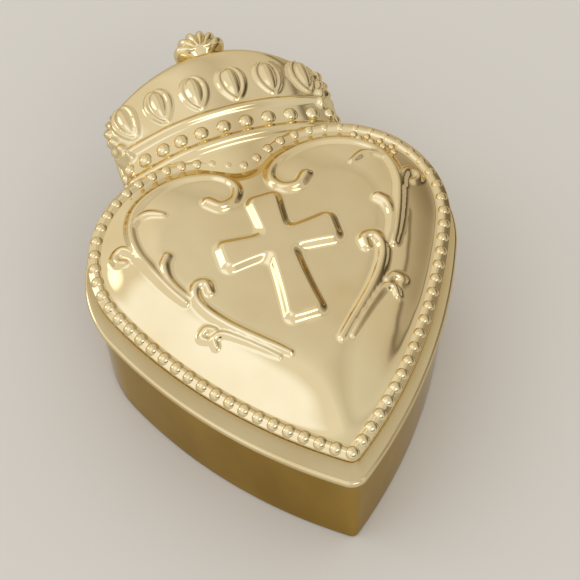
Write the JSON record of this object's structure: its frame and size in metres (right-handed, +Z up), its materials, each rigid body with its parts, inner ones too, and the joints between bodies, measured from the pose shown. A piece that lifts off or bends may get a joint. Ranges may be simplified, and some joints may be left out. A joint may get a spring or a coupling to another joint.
{
  "type": "wind-up music box",
  "caption": "Heart-shaped keepsake music box with a crown, a beaded lift-off lid with a raised cross, a pinned-cylinder movement under a clear cover and a winding key below.",
  "frame": {"origin": "centre of the overall box seen from above, at the table under the foot", "axes": "+Z up, +Y from the heart's tip towards the crown, +X to the right seen from the tip"},
  "size_m": [0.124, 0.174, 0.0685],
  "materials": {
    "gold_lustre": "polished gold lustre over glazed earthenware",
    "zinc_casting": "die-cast zinc, tumbled",
    "nickel_steel": "nickel-plated pressed steel",
    "bright_steel": "turned and polished",
    "screw_steel": "zinc-plated screws",
    "spring_steel": "hardened, ground",
    "brass": "polished",
    "pin_steel": "ground level",
    "nylon": "moulded nylon, natural",
    "clear_acrylic": "clear acrylic"
  },
  "bodies": {
    "case": {"base_shell": "gold_lustre", "bedplate": "zinc_casting", "left_cheek": "nickel_steel", "right_cheek": "nickel_steel", "governor_bracket": "nickel_steel", "key_bush": "nylon", "movement_cover": "clear_acrylic", "spring_housing": "nickel_steel", "mainspring": "spring_steel", "comb": "spring_steel", "comb_screws": "screw_steel", "frame_screws": "screw_steel", "mounting_screws": "screw_steel", "lever_post": "bright_steel"},
    "lid": {"lid_shell": "gold_lustre", "lid_bead_border": "gold_lustre", "lid_cross": "gold_lustre", "lid_scrolls": "gold_lustre", "crown_band": "gold_lustre", "crown_jewels": "gold_lustre", "crown_finial": "gold_lustre"},
    "winding": {"winding_key": "brass", "winding_arbor": "bright_steel", "arbor_clip": "bright_steel"},
    "drive": {"drive_wheel": "nylon"},
    "cylinder": {"cylinder_drum": "brass", "cylinder_caps": "brass", "cylinder_pins": "pin_steel", "cylinder_arbor": "bright_steel", "cylinder_pinion": "nylon", "cylinder_wheel": "brass"},
    "governor": {"governor_arbor": "bright_steel", "governor_pinion": "nylon", "worm_wheel": "brass"},
    "brake": {"worm_shaft": "bright_steel", "fan": "nylon"},
    "stop": {"stop_lever": "nickel_steel"}
  },
  "joints": [
    {"name": "lid_lift", "type": "slide", "parent": "case", "child": "lid", "axis": [0, 0, 1], "range_m": [0, 0.08]},
    {"name": "key_turn", "type": "hinge", "parent": "case", "child": "winding", "pos_m": [-0.015, -0.008, 0], "axis": [0, 0, 1], "range_deg": [0, 1980]},
    {"name": "cylinder_turn", "type": "hinge", "parent": "case", "child": "cylinder", "pos_m": [0, -0.008, 0.0352], "axis": [1, 0, 0], "continuous": true},
    {"name": "drive_turn", "type": "hinge", "parent": "case", "child": "drive", "pos_m": [-0.015, -0.008, 0.032], "axis": [0, 0, 1], "continuous": true},
    {"name": "governor_turn", "type": "hinge", "parent": "case", "child": "governor", "pos_m": [0.0248, 0.002, 0.0352], "axis": [1, 0, 0], "continuous": true},
    {"name": "brake_turn", "type": "hinge", "parent": "case", "child": "brake", "pos_m": [0.0248, 0.01, 0.0352], "axis": [0, 0, 1], "continuous": true},
    {"name": "stop_swing", "type": "hinge", "parent": "case", "child": "stop", "pos_m": [0.012, 0.012, 0.0245], "axis": [0, 0, 1], "range_deg": [0, 25]}
  ],
  "couplings": [
    {"joint": "drive_turn", "follows": "cylinder_turn", "ratio": 0.28571},
    {"joint": "governor_turn", "follows": "cylinder_turn", "ratio": -4},
    {"joint": "brake_turn", "follows": "cylinder_turn", "ratio": 80}
  ]
}
